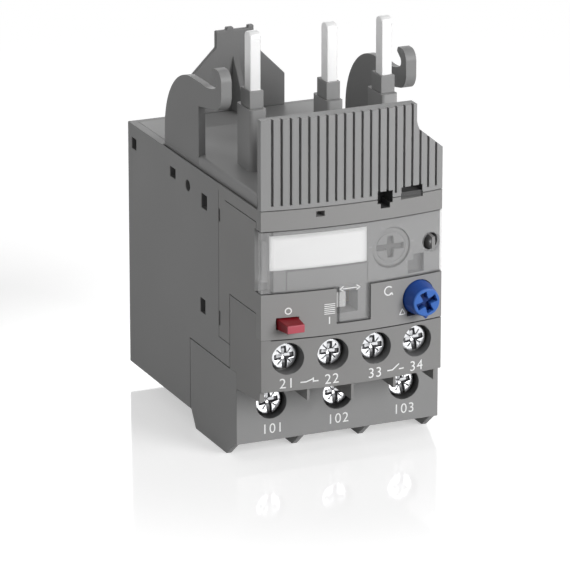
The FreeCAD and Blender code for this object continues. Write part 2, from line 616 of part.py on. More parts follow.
def screws(label, xs, axis, headBack, head, headHeight, shank, tip, width):
    """Cheese heads with a combined cross and straight slot, axis along Y."""
    piece = Piece(label)
    for x in xs:
        face = headBack(x)
        piece.add("xz", face, face + headHeight, circle(x, axis, head))
        piece.add("xz", face + headHeight - 0.05, tip, circle(x, axis, shank))
    for x in xs:
        face = headBack(x)
        reach = head * 0.62
        piece.cut("xz", face - 0.1, face + 0.75, rect(x - width, x + width, axis - reach, axis + reach))
        piece.cut("xz", face - 0.1, face + 0.75, rect(x - head, x + head, axis - width, axis + width))
    return piece


def auxClamps():
    piece = Piece("aux_clamps")
    near = behind(6.5)
    for x in auxXs:
        piece.add("xz", near, near + 0.9, rect(x - 2.9, x + 2.9, 22.4, 28.2))
    piece.cut("xz", near - 1, near + 2, *[circle(x, S.aux_axis, S.aux_shank + 0.02) for x in auxXs])
    return piece


def auxStrip(label, x, shift, armSetback):
    """Terminal plate of one auxiliary screw with its contact arm above."""
    piece = Piece(label)
    near = behind(10.9)
    rear = behind(12.6)
    arm = behind(armSetback)
    thick = 0.5
    forward = shift > 0
    piece.add("xz", near, near + 0.9, rect(x - 2.9, x + 2.9, 21.0, 28.2))
    piece.cut("xz", near - 1, near + 2, circle(x, S.aux_axis, S.aux_shank + 0.02))
    piece.add("xy", 27.4, 28.2, rect(x - 1.5, x + 1.5, near, rear + thick))
    piece.add("xz", rear, rear + thick, rect(x - 1.5, x + 1.5, 27.4, 40.5))
    piece.add("xy", 40.0, 40.5, rect(x - 1.5, x + 1.5, rear, arm + thick))
    reach = x + shift
    low, high = (x - 1.5, reach) if forward else (reach, x + 1.5)
    piece.add("xz", arm, arm + thick, rect(low, high, 40.0, 44.0))
    spot = reach - 1.2 if forward else reach + 1.2
    rivet = (arm + thick - 0.1, arm + 1.2) if forward else (arm - 0.7, arm + 0.1)
    piece.add("xz", rivet[0], rivet[1], circle(spot, 42.2, 0.9))
    return piece


def clearCover():
    piece = Piece("clear_cover")
    gap = S.shut_line
    low, high = S.cover_base + gap, S.strip_base - gap
    far = S.cover_thickness
    piece.add("xy", low, high, shell(left + 0.02, moduleRight - 0.02, 0, far))
    piece.add("xy", S.tab_base + gap, low + 0.5, shell(S.tab_left + 3 * gap, S.tab_right - gap, 0, far))
    # hinge flange and pins
    x, y = left + S.hinge_inset, behind(S.hinge_setback)
    piece.add("xy", low, high, rect(left + 0.02, left + 0.62, behind(0.4), y))
    for a, b in ((low, low + 2.2), (high - 2.2, high)):
        piece.add("xy", a, b, circle(x, y, S.hinge_inset - 0.02))
    piece.add("xy", low - S.hinge_pin_length, low, circle(x, y, S.hinge_pin))
    piece.add("xy", high, high + S.hinge_pin_length, circle(x, y, S.hinge_pin))
    piece.cut("xz", behind(-4), behind(1.2), circle(eyeX, coverMiddle, S.eye_radius))
    return piece


def labelPlate():
    piece = Piece("label_plate")
    piece.add("xy", labelLow, labelHigh, shell(labelLeft, labelRight, S.recess, S.recess + 0.2))
    return piece


def dial():
    piece = Piece("dial")
    face = behind(S.dial_face)
    x, z, radius = dialX, coverMiddle, S.dial_radius
    piece.add("xz", face, face + S.dial_thickness, circle(x, z, radius))
    piece.cut("xz", face - 0.1, face + 0.35, circle(x, z, radius - 0.9))
    piece.add("xz", face, face + S.dial_thickness, circle(x, z, radius - 1.3))
    w, reach = S.dial_slot, S.dial_slot_reach
    piece.cut("xz", face - 0.1, face + 0.9, rect(x - reach, x + reach, z - w, z + w))
    piece.cut("xz", face - 0.1, face + 0.9, rect(x - w, x + w, z - reach, z + reach))
    piece.add("xz", face + S.dial_thickness, behind(7.4), circle(x, z, S.dial_shaft))
    return piece


def dialCam():
    piece = Piece("dial_cam")
    near = behind(4.0)
    piece.add("xz", near, near + 1.6, circle(dialX + 0.9, coverMiddle, 3.3))
    piece.cut("xz", near - 1, near + 3, circle(dialX, coverMiddle, S.dial_shaft))
    return piece


def testSlider():
    piece = Piece("test_slider")
    x0, x1, z0, z1 = S.test_left, S.test_right, S.test_low, S.test_high
    piece.add("xz", behind(-0.8), behind(3.5), rect(x0, x1, z0, z1))
    piece.add("xz", behind(3.5), behind(4.5), rect(x0 - 3.4, x1 + 0.6, z0 - 2.4, z1 + 1.4))
    return piece


def stopButton():
    piece = Piece("stop_button")
    x0, x1 = stopLeft + S.stop_play, stopRight - S.running
    z0, z1 = S.stop_low + S.running, S.stop_high - S.stop_lid
    root = frontAt((x0 + x1) / 2)
    tip = root - S.stop_reach
    piece.add("xz", tip, behind(3.5), rect(x0, x1, z0, z1))
    piece.cut("yz", x0 - 1, x1 + 1, [(tip - 0.1, z1 - 0.57), (root, z1), (root, z1 + 1), (tip - 0.1, z1 + 1)])
    piece.cut("xy", z0 - 1, z1 + 1, [(x0 - 1, tip - 0.1), (x0 + 0.64, tip - 0.1), (x0, root), (x0 - 1, root)])
    piece.add("xz", behind(3.5), behind(4.7), rect(x0 - 0.6, x1 + 0.8, z0, z1 + 0.8))
    piece.add("xz", behind(4.7), behind(10.0), circle(stopX, stopZ, 1.0))
    return piece


def coil(label, x, z, radius, near, far, turns, wire):
    """Return spring, a helix along Y."""
    spring = doc.addObject("PartDesign::Body", label)
    spring.Label = label
    nodes.append(spring)
    sketch = spring.newObject("Sketcher::SketchObject", label + "_wire")
    datum = [f for f in spring.Origin.OriginFeatures if f.Role == "XY_Plane"][0]
    sketch.AttachmentSupport = [(datum, "")]
    sketch.MapMode = "FlatFace"
    x, z = toSize(x), toSize(z)
    sketch.setExpression("AttachmentOffset.Base.z", z.text)
    half = wire / 2
    drawLoop(sketch, rect(x + radius - half, x + radius + half, near, near + wire))
    line = sketch.addGeometry(Part.LineSegment(FreeCAD.Vector(x.value, near.value, 0),
                                               FreeCAD.Vector(x.value, far.value, 0)), True)
    bind(sketch, "DistanceX", x, line, 1)
    bind(sketch, "DistanceX", x, line, 2)
    bind(sketch, "DistanceY", near, line, 1)
    bind(sketch, "DistanceY", far, line, 2)
    doc.recompute()
    made = spring.newObject("PartDesign::AdditiveHelix", label + "_turns")
    made.Profile = sketch
    made.ReferenceAxis = (sketch, ["Axis0"])
    made.Mode = "pitch-height-angle"
    pitch = (far - near - wire) / turns
    made.setExpression("Pitch", pitch.text)
    made.setExpression("Height", (far - near - wire).text)
    made.Angle = 0
    return spring


def resetKnob():
    piece = Piece("reset_knob")
    x, z = resetX, S.reset_z
    root = frontAt(x)
    face = root - S.reset_reach
    piece.add("xz", root, behind(3.0), circle(x, z, S.reset_base))
    cone = piece.add("xz", face, root, circle(x, z, S.reset_base))
    slope = (S.reset_base - S.reset_face) / S.reset_reach
    cone.setExpression("TaperAngle", "-1 * atan(%s)" % slope.text)
    w = 0.46
    reach = 2.05
    turn = math.radians(22)
    for angle in (turn, turn + math.pi / 2):
        c, s = math.cos(angle), math.sin(angle)
        corner = [(reach, -w), (reach, w), (-reach, w), (-reach, -w)]
        piece.cut("xz", face - 0.1, face + 1.6, [(x + (a * c - b * s), z + (a * s + b * c)) for a, b in corner])
    piece.cut("xz", behind(-1), behind(3.1), circle(x, z, 1.5 + S.running))
    return piece


def resetPlunger():
    piece = Piece("reset_plunger")
    x, z = resetX, S.reset_z
    piece.add("xz", behind(-1), behind(10.2), circle(x, z, 1.5))
    piece.add("xz", behind(3.5), behind(4.5), rect(x - 3.9, x + 3.8, z - 3.35, z + 3.9))
    return piece


def tripBar():
    """Comb that the tips of the three strips push along X."""
    piece = Piece("trip_bar")
    near, spine, far = behind(43.0), behind(47.65), behind(49.4)
    piece.add("xy", barLow, barLow + barHeight, rect(left + 3.3, right - 5.5, near, far))
    half = S.strip_thickness / 2
    slots = [rect(p - half - S.trip_travel - 0.3, p + half + 0.12, near - 1, spine) for p in poles]
    piece.cut("xy", barLow - 1, barLow + barHeight + 1, *slots)
    return piece


def tripLever():
    piece = Piece("trip_lever")
    f = behind
    piece.add("xy", leverLow, leverLow + leverHeight, [
        (right - 5.35, f(46.5)), (right - 4.1, f(46.5)), (right - 4.1, f(42)), (14.9, f(22)),
        (14.2, f(16), 1.6), (12.0, f(14.5)), (10.4, f(16.2)), (2.0, f(16.2)), (2.0, f(17.4)), (11.0, f(17.4)),
        (13.4, f(22)), (right - 5.35, f(42))])
    piece.cut("xy", leverLow - 1, leverLow + leverHeight + 1, circle(*tripPivot, 0.8 + S.running))
    return piece


def contactLever():
    """Rocks on its own pin and lifts the opening contact with the post at its left end."""
    piece = Piece("contact_lever")
    f = behind
    piece.add("xy", leverLow, leverLow + leverHeight, [
        (3.4, f(17.5)), (3.4, f(18.9)), (-3.2, f(19.4)), (-5.8, f(19.4)), (-15.6, f(18.9)), (-15.6, f(14.25)),
        (-14.5, f(14.25)), (-14.5, f(17.0)), (-5.8, f(17.0)), (-3.2, f(17.0)), (1.4, f(17.5))])
    piece.add("xy", leverLow, 43.5, rect(-15.6, -14.5, f(14.25), f(15.25)))
    piece.cut("xy", leverLow - 1, leverLow + leverHeight + 1, circle(*contactPivot, 0.8 + S.running))
    return piece


def leverPins():
    piece = Piece("lever_pins")
    piece.add("xy", S.panel_base + S.wall, leverLow + leverHeight + 0.6,
              *[circle(x, y, 0.8) for x, y in (tripPivot, contactPivot)])
    return piece


for make in (rearHousing, mainBlock, frontHousing, auxBlock, hood, topDeck, rearShield, mainClamps, auxClamps,
             clearCover, labelPlate, dial, dialCam, testSlider, stopButton, resetKnob, resetPlunger, tripBar,
             tripLever, contactLever, leverPins):
    make()
hook("hook_left", deckLeft)
hook("hook_right", hookRight)
for word, x, pole in zip(("left", "middle", "right"), bladeXs, poles):
    sleeve("sleeve_" + word, x)
    blade("blade_" + word, x, pole)
    bimetal("bimetal_" + word, pole)
    heater("heater_" + word, pole)
    loadBar("load_bar_" + word, pole)
screws("main_screws", poles, S.main_axis, lambda x: behind(S.face_setback + S.main_head_back), S.main_head,
       S.main_head_height, S.main_shank, behind(26.0), 0.4)
screws("aux_screws", auxXs, S.aux_axis, lambda x: frontAt(x) + S.aux_head_back, S.aux_head,
       S.aux_head_height, S.aux_shank, behind(13.0), 0.36)
for number, (x, shift, arm) in enumerate(zip(auxXs, (5.6, -5.0, 5.6, -5.0), (12.6, 14.5, 12.6, 15.4)), start=1):
    auxStrip("aux_strip_%d" % number, x, shift, arm)
coil("stop_spring", stopX, stopZ, 1.5, behind(4.7), stopSeat, 3, 0.4)
coil("reset_spring", resetX, S.reset_z, 2.2, behind(4.5), resetSeat, 3, 0.4)
doc.recompute()

bad = []
for obj in doc.Objects:
    if "Invalid" in obj.State or "Error" in obj.State:
        bad.append(obj.Name)
print("objects", len(doc.Objects), "bad", bad)
for node in nodes:
    shape = node.Shape
    if shape.isNull() or not shape.isValid():
        bad.append(node.Label)
        print("bad shape", node.Label)
        continue
    shape.exportStep(os.path.join("parts", node.Label + ".step"))
    print("%-16s solids %d volume %.1f" % (node.Label, len(shape.Solids), shape.Volume))
if bad:
    raise SystemExit("failed: " + ", ".join(bad))
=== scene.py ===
import bpy
import bmesh
import json
import math
import numpy as np
from mathutils import Matrix, Vector


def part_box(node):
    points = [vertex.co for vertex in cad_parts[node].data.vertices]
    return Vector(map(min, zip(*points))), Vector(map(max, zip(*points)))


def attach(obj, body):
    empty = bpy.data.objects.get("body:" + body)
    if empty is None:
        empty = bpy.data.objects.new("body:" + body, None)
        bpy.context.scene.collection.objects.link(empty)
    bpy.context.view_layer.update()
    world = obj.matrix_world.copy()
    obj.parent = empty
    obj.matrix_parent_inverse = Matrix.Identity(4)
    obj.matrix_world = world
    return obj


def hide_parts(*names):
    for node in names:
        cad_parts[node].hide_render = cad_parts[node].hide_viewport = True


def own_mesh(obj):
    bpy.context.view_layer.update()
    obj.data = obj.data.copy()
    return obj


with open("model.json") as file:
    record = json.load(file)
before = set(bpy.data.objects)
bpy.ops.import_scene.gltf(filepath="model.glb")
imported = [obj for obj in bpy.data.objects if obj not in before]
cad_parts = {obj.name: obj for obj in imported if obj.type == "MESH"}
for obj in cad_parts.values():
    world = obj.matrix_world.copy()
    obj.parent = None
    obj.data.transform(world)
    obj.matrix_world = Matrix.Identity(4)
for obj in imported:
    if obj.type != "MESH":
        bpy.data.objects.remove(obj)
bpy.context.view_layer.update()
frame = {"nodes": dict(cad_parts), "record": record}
nodes = frame["nodes"]
bodyOf = {name: body for body, names in frame["record"]["behaviour"]["bodies"].items() for name in names}
slotOf = {row["node"]: row["material_slot"] for row in frame["record"]["subparts"]}
mm = 0.001

# the bowed front face, in millimetres; the main terminals stand that setback behind its edge
front = {"setback": 12.6, "left": -22.5, "width": 39.6, "radius": 101.0}
front["edge"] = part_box("main_block")[0].y / mm - front["setback"]


def frontAt(x):
    # circle of the front radius through both front corners: y = edge + sqrt(R^2 - w^2/4) - sqrt(R^2 - (x - middle)^2)
    run = x - front["left"] - front["width"] / 2
    corner = math.sqrt(front["radius"] ** 2 - front["width"] ** 2 / 4)
    return front["edge"] + corner - np.sqrt(front["radius"] ** 2 - run ** 2)


def behind(setback):
    return front["edge"] + setback


class Wire:
    # an output of a node; the usual signs between wires and numbers add Math nodes
    def __init__(self, paint, socket):
        self.paint = paint
        self.socket = socket

    def maths(self, operation, first, second):
        return self.paint.node("Math", {"operation": operation}, {0: first, 1: second})

    def __add__(self, other):
        return self.maths("ADD", self, other)

    def __radd__(self, other):
        return self.maths("ADD", other, self)

    def __sub__(self, other):
        return self.maths("SUBTRACT", self, other)

    def __rsub__(self, other):
        return self.maths("SUBTRACT", other, self)

    def __mul__(self, other):
        return self.maths("MULTIPLY", self, other)

    def __rmul__(self, other):
        return self.maths("MULTIPLY", other, self)

    def __truediv__(self, other):
        return self.maths("DIVIDE", self, other)


class Paint:
    # a material, or the world, under construction
    def __init__(self, name, owner=None):
        self.material = owner or bpy.data.materials.new(name)
        self.material.use_nodes = True
        self.tree = self.material.node_tree
        self.tree.nodes.clear()

    def node(self, kind, settings=None, sockets=None, output=0):
        made = self.tree.nodes.new("ShaderNode" + kind)
        for word, value in (settings or {}).items():
            if word == "stops":
                ramp = made.color_ramp.elements
                while len(ramp) < len(value):
                    ramp.new(0.5)
                for stop, (place, colour) in zip(ramp, value):
                    stop.position = place
                    stop.color = colour
            else:
                setattr(made, word, value)
        for word, value in (sockets or {}).items():
            if isinstance(value, Wire):
                self.tree.links.new(value.socket, made.inputs[word])
            else:
                made.inputs[word].default_value = value
        return Wire(self, made.outputs[output])

    def place(self, stretch=(1, 1, 1)):
        here = self.node("TexCoord", None, None, "Object")
        return self.node("Mapping", None, {"Vector": here, "Scale": stretch})

    def noise(self, size, detail=2.0, stretch=(1, 1, 1)):
        # features of about that size in millimetres, 0 to 1
        sockets = {"Vector": self.place(stretch), "Scale": 1000.0 / size, "Detail": detail, "Roughness": 0.5}
        return self.node("TexNoise", {"noise_dimensions": "3D"}, sockets)

    def within(self, axis, low, high, soft):
        # 1 between two places in millimetres along X, Y or Z, falling to 0 over the soft edge
        here = self.node("TexCoord", None, None, "Object")
        at = self.node("SeparateXYZ", None, {"Vector": here}, axis) * 1000
        return self.node("Math", {"operation": "MINIMUM", "use_clamp": True},
                         {0: (at - low) / soft, 1: (high - at) / soft})

    def blend(self, share, first, second):
        # share 0 gives the first colour and 1 the second
        sockets = {"Factor": share, "A": first, "B": second}
        mix = self.tree.nodes.new("ShaderNodeMix")
        mix.data_type = "RGBA"
        for word, value in sockets.items():
            socket = [s for s in mix.inputs if s.name == word and s.enabled][0]
            if isinstance(value, Wire):
                self.tree.links.new(value.socket, socket)
            else:
                socket.default_value = value
        return Wire(self, [s for s in mix.outputs if s.enabled][0])

    def bump(self, height, depth):
        # depth in millimetres
        return self.node("Bump", None, {"Height": height, "Distance": depth * mm, "Strength": 1.0})

    def finish(self, sockets):
        return self.show(self.node("BsdfPrincipled", None, sockets))

    def show(self, shader):
        out = self.tree.nodes.new("ShaderNodeOutputMaterial")
        self.tree.links.new(shader.socket, out.inputs["Surface"])
        return self.material


def tone(level, warm=0.0):
    # grey written as it shows, 0 to 255; warm shifts it to red
    def line(v):
        v = v / 255.0
        return v / 12.92 if v <= 0.04045 else ((v + 0.055) / 1.055) ** 2.4
    return (line(level + warm), line(level), line(level - warm), 1.0)


def mouldedPlastic(name, colour, size, rough=0.52, grain=0.35, depth=0.012):
    # spark-textured housing plastic: a fine grain, slow clouding of the grey, and rubbed spots that shine more
    paint = Paint(name)
    clouds = paint.noise(size, 3.0)
    fine = paint.noise(grain, 2.0)
    dark = tuple(c * 0.93 for c in colour[:3]) + (1.0,)
    light = tuple(min(1.0, c * 1.06) for c in colour[:3]) + (1.0,)
    shade = paint.blend(clouds * 0.7 + fine * 0.3, dark, light)
    return paint.finish({"Base Color": shade, "Roughness": (rough - 0.1) + clouds * 0.12 + fine * 0.08,
                         "Normal": paint.bump(fine, depth), "IOR": 1.5, "Specular IOR Level": 0.4})


def plated(name, colour, rough, grainSize, stretch, metal=1.0):
    # rolled or drawn metal with a thin bright coat: fine lines along the way it was drawn, faint dull patches
    paint = Paint(name)
    lines = paint.noise(grainSize, 3.0, stretch)
    patches = paint.noise(2.2, 2.0)
    dark = tuple(c * 0.86 for c in colour[:3]) + (1.0,)
    shade = paint.blend(lines * 0.5 + patches * 0.4, colour, dark)
    return paint.finish({"Base Color": shade, "Metallic": metal, "Roughness": rough + patches * 0.12 + lines * 0.06,
                         "Normal": paint.bump(lines, 0.004)})


def gloss(name, colour, rough):
    # polished moulding of a push button or knob
    paint = Paint(name)
    clouds = paint.noise(6.0, 2.0)
    fine = paint.noise(0.5, 2.0)
    dark = tuple(c * 0.88 for c in colour[:3]) + (1.0,)
    return paint.finish({"Base Color": paint.blend(clouds, colour, dark), "Roughness": rough + fine * 0.1,
                         "Normal": paint.bump(fine, 0.005), "Coat Weight": 0.1, "Coat Roughness": 0.12,
                         "Specular IOR Level": 0.3})


label = {"x": (-20.3, 0.0), "z": (44.0, 50.9), "soft": 0.5}


def clearPlastic(name, level, haze, polished=0.0):
    # thin window: mostly see-through, with a light haze, faint flow lines and a clear gloss;
    # polished takes that much of the haze away in front of the label
    paint = Paint(name)
    flow = paint.noise(5.0, 2.0, (0.5, 1, 1.6))
    alpha = haze + flow * 0.03
    if polished:
        overLabel = paint.within("X", *label["x"], label["soft"]) * paint.within("Z", *label["z"], label["soft"])
        alpha = alpha - overLabel * polished
    return paint.finish({"Base Color": paint.blend(flow, tone(level - 6), tone(level + 6)),
                         "Roughness": 0.05 + flow * 0.06, "Alpha": alpha,
                         "Normal": paint.bump(flow, 0.01), "Specular IOR Level": 0.35})


finishes = {
    "housing_grey": mouldedPlastic("housingGrey", tone(146), 14.0),
    "front_grey": mouldedPlastic("frontGrey", tone(146, 0.6), 12.0),
    "clear": clearPlastic("clearWindow", 204, 0.17, 0.13),
    "label_white": mouldedPlastic("labelWhite", tone(252), 9.0, 0.45, 0.3, 0.004),
    "dial_grey": mouldedPlastic("dialGrey", tone(157), 5.0, 0.5, 0.3, 0.008),
    "slider_grey": mouldedPlastic("sliderGrey", tone(228), 4.0, 0.45, 0.3, 0.006),
    "red": gloss("signalRed", (0.27, 0.006, 0.014, 1), 0.36),
    "blue": gloss("signalBlue", (0.012, 0.08, 0.4, 1), 0.36),
    "tin": plated("tinPlate", (0.95, 0.95, 0.95, 1), 0.42, 0.12, (1, 1, 0.06), metal=0.45),
    "zinc": plated("zincPlate", (0.83, 0.84, 0.86, 1), 0.2, 0.2, (1, 0.2, 1)),
    "copper_alloy": plated("pressedBrass", (0.74, 0.52, 0.27, 1), 0.25, 0.2, (1, 1, 0.1)),
    "bimetal": plated("stripMetal", (0.5, 0.47, 0.43, 1), 0.35, 0.2, (1, 1, 0.05)),
    "winding": plated("windingMetal", (0.42, 0.38, 0.35, 1), 0.45, 0.15, (1, 0.1, 1)),
    "spring": plated("springWire", (0.62, 0.62, 0.62, 1), 0.22, 0.1, (0.2, 1, 0.2)),
    "inner_plastic": mouldedPlastic("innerPlastic", tone(214, 6), 8.0, 0.5),
}
# finishes that some faces take instead; all but print and scale are painted light and shade: darker greys and blues in
# recesses, wells, grooves, cover edges and the crosses of screws, knob and dial, paler colours where faces are lit or
# sit behind the clear cover, and a highlight on the cover's left end
accents = {
    "recess": plated("screwRecessShade", (0.15, 0.15, 0.155, 1), 0.38, 0.2, (1, 0.2, 1)),
    "dialRecessShade": mouldedPlastic("dialRecessShade", tone(108), 5.0, 0.5, 0.3, 0.008),
    "blueRecessShade": gloss("blueRecessShade", (0.004, 0.03, 0.17, 1), 0.4),
    "coverRimShade": clearPlastic("clearRimShade", 70, 0.5),
    "coverEdgeHighlight": clearPlastic("clearEdgeHighlight", 205, 0.34),
    "panelShade": mouldedPlastic("panelShade", tone(126), 12.0),
    "panelPaintedLight": mouldedPlastic("panelPaintedLight", tone(157), 12.0),
    "nichePaintedLight": mouldedPlastic("nichePaintedLight", tone(170), 12.0),
    "wellShade": mouldedPlastic("wellShade", tone(112), 12.0),
    "deepWellShade": mouldedPlastic("deepWellShade", tone(72), 12.0),
    "knobFaceLit": gloss("knobFaceLit", (0.05, 0.165, 0.55, 1), 0.28),
    "redFaceLit": gloss("redFaceLit", (0.5, 0.09, 0.12, 1), 0.3),
    "deepShade": mouldedPlastic("deepShade", tone(78), 12.0),
    "sidePocketShade": mouldedPlastic("sidePocketShade", tone(104), 12.0),
    "print": mouldedPlastic("printWhite", tone(244), 3.0, 0.6, 0.2, 0.003),
    "scale": mouldedPlastic("scaleGrey", tone(196), 3.0, 0.6, 0.2, 0.003),
}
finishOf = {name: finishes[slot] for name, slot in slotOf.items()}
finishOf["hood"] = mouldedPlastic("hoodGrey", tone(152), 12.0)
finishOf["top_deck"] = mouldedPlastic("deckGrey", tone(160), 12.0)
finishOf["aux_block"] = mouldedPlastic("terminalGrey", tone(138, 0.6), 12.0)
# the shield takes a darker grey, which is painted shade
finishOf["rear_shield"] = mouldedPlastic("shieldShadedGrey", tone(124), 10.0)
for name in ("hook_left", "hook_right"):
    finishOf[name] = mouldedPlastic("hookGrey", tone(140), 10.0)
for name, part in nodes.items():
    part.data.materials.clear()
    part.data.materials.append(finishOf[name])
print("materials on", len(nodes), "parts")


def addMesh(name, points, faces, finish, smooth=40.0, extra=(), inked=None):
    # inked gives for every face 0, or the number of the accent that it takes
    mesh = bpy.data.meshes.new(name)
    mesh.from_pydata((np.asarray(points) * mm).tolist(), [], faces)
    mesh.update()
    mesh.polygons.foreach_set("use_smooth", np.ones(len(mesh.polygons), bool))
    mesh.set_sharp_from_angle(angle=math.radians(smooth))
    mesh.materials.append(finish)
    for more in extra:
        mesh.materials.append(accents[more])
    if inked is not None:
        mesh.polygons.foreach_set("material_index", np.asarray(inked, np.int32))
    made = bpy.data.objects.new(name, mesh)
    bpy.context.scene.collection.objects.link(made)
    return made


def gridFaces(rows, columns, start=0):
    # quads between neighbouring rows of a grid whose columns run round and close
    r, c = np.meshgrid(np.arange(rows - 1), np.arange(columns), indexing="ij")
    a = r * columns + c
    b = r * columns + (c + 1) % columns
    return (np.stack([a + columns, b + columns, b, a], -1).reshape(-1, 4) + start).tolist()


def fit(piece, node):
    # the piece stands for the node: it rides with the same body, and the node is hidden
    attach(piece, bodyOf[node])
    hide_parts(node)
    return piece


# mouldings whose edges are rounded, with the width of the rounding in millimetres
softened = {
    "rear_housing": 0.22, "main_block": 0.2, "front_housing": 0.16, "aux_block": 0.18, "hood": 0.14, "top_deck": 0.22,
    "hook_left": 0.3, "hook_right": 0.3, "rear_shield": 0.22, "sleeve_left": 0.16, "sleeve_middle": 0.16,
    "sleeve_right": 0.16, "blade_left": 0.25, "blade_middle": 0.25, "blade_right": 0.25, "stop_button": 0.16,
    "test_slider": 0.1, "clear_cover": 0.1,
}


# screws: sizes of the head, where they stand, the setback of their tips, and the turn of each one's cross in degrees
auxScrew = {"radius": 2.8, "height": 1.3, "shank": 1.5, "axis": 25.5, "xs": [-17.05 + 9.47 * i for i in range(4)],
            "sunk": 1.9, "tip": 13.0, "turns": [4, -3, 2, 9], "pitch": 0.6}
mainScrew = {"radius": 2.95, "height": 1.5, "shank": 2.0, "axis": 11.5, "xs": [-14.8, 0.0, 14.8],
             "sunk": 14.2, "tip": 26.0, "turns": [8, 3, 14], "pitch": 0.8}

# the tests below pick the faces of a moulding that take another finish, by a face's middle x, y, z and its normal n
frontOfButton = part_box("stop_button")[0].y / mm
groove = {"hood": (56.4, 56.75), "aux": (29.4, 29.75)}
window = {"low": 39.25, "high": 52.4, "tabLow": 31.8, "tabLeft": -6.85, "tabRight": 0.6, "eyeX": 14.7, "eyeZ": 45.825}


def isBetween(value, low, high):
    return low < value < high


def isRecessWall(x, y, z, n):
    # walls round the clear cover; they take painted shade, so they show as thin dark lines
    sill = abs(n.z) > 0.7 and min(abs(z - window[word]) for word in ("low", "high", "tabLow")) < 0.2
    side = abs(n.x) > 0.7 and min(abs(x - window[word]) for word in ("tabLeft", "tabRight")) < 0.2 and z < window["low"]
    return (sill or side) and y < behind(2)


# the edges of the clear cover that take a dark finish, which is painted shade
def isCoverRim(x, y, z, n):
    top = n.z > 0.7 and z > window["high"] - 0.4
    bottom = n.z < -0.7 and (z < window["tabLow"] + 0.5 or isBetween(z, window["low"] - 0.1, window["low"] + 0.5))
    side = abs(n.x) > 0.7 and z < window["low"] and isBetween(x, window["tabLeft"], window["tabRight"] + 0.1)
    return (top or bottom or side) and y < behind(1)


# inside of the pockets in the sides, which takes painted shade
def isSidePocket(x, y, z, n):
    return isBetween(abs(x), 20.9, 22.3) and isBetween(z, 20, 56) and y > behind(18)


def patch(xs, zs, near, far):
    # faces in a span of x and of z, from a depth behind the bowed face to a setback behind the front edge
    return lambda x, y, z, n: (isBetween(x, *xs) and isBetween(z, *zs)
                               and isBetween(y, frontAt(x) + near, behind(far)))


def shutLine(span):
    # the walls of a shut line that runs across the front, which take painted shade
    return lambda x, y, z, n: isBetween(z, *span) and y < behind(1)


def isNearScrew(x, z, screw, reach):
    return min(math.hypot(x - screwX, z - screw["axis"]) for screwX in screw["xs"]) < reach


def isPanel(x, y, z, n):
    # floor of the recess behind the clear cover, which takes a paler grey as painted light
    return n.y < -0.5 and isBetween(z, 31.9, 52.4) and isBetween(y, frontAt(x) + 0.8, behind(2.3))


# the recess at the cover's left; it takes a paler grey, which is painted light
def isHingeRecess(x, y, z, n):
    outside = isBetween(x, -22.6, -22.4)
    return x < -19.55 and isBetween(z, 39.3, 52.35) and y < behind(3.4) and not outside


def isPanelStep(x, y, z, n):
    # the small step round the lower left of the panel
    wall = abs(x + 17.1) < 0.1 or abs(z - 43.65) < 0.1
    return (isBetween(x, -17.2, 1.0) and isBetween(z, 39.5, 43.8) and wall
            and isBetween(y, frontAt(x) + 0.99, frontAt(x) + 1.16))


# inside of the eyelet hole, which takes painted shade
def isEye(x, y, z, n):
    inside = math.hypot(x - window["eyeX"], z - window["eyeZ"]) < 1.9
    return inside and isBetween(y, frontAt(x) + 1.05, behind(2.3)) and abs(n.x) < 0.9


# the next two pick the faces of the screw wells, which take painted shade
def isAuxWell(x, y, z, n):
    return isBetween(y, frontAt(x) + 0.25, behind(4)) and isNearScrew(x, z, auxScrew, 3.6)


def isMainWell(x, y, z, n):
    return isBetween(y, behind(12.85), behind(17)) and isNearScrew(x, z, mainScrew, 3.9)


# for each moulding, the finishes that some of its faces take, all of them painted shade or painted light; a later one
# goes over an earlier one
inked = {
    "hood": [
        # the hood's pockets and its groove take painted shade
        ("deepShade", patch((1.7, 12.8), (0, 58.6), 0.35, 2.95)),
        ("deepShade", shutLine(groove["hood"])),
    ],
    "front_housing": [
        ("panelPaintedLight", isPanel),
        # the left recess and the slider window's cavity take a paler grey as painted light
        ("nichePaintedLight", isHingeRecess),
        ("nichePaintedLight", patch((-6.7, -1.8), (33.6, 38.3), 1.1, 4.1)),
        ("panelShade", isPanelStep),
        ("deepShade", patch((1.7, 12.6), (54.6, 56.49), 0.3, 2.7)),
        ("deepShade", isEye),
        ("panelShade", patch((9.3, 13.4), (39.4, 43.8), 1.2, 1.7)),
        ("deepShade", isRecessWall),
    ],
    "aux_block": [("wellShade", isAuxWell), ("deepShade", shutLine(groove["aux"]))],
    "main_block": [("deepWellShade", isMainWell)],
    "rear_housing": [("sidePocketShade", isSidePocket)],
    # the cover's left end takes a pale painted highlight, and its edges painted shade
    "clear_cover": [("coverEdgeHighlight", lambda x, y, z, n: x < -21.3), ("coverRimShade", isCoverRim)],
    # the front of the button takes a lighter red, which is a painted reflection
    "stop_button": [("redFaceLit", lambda x, y, z, n: y < frontOfButton + 0.1)],
}


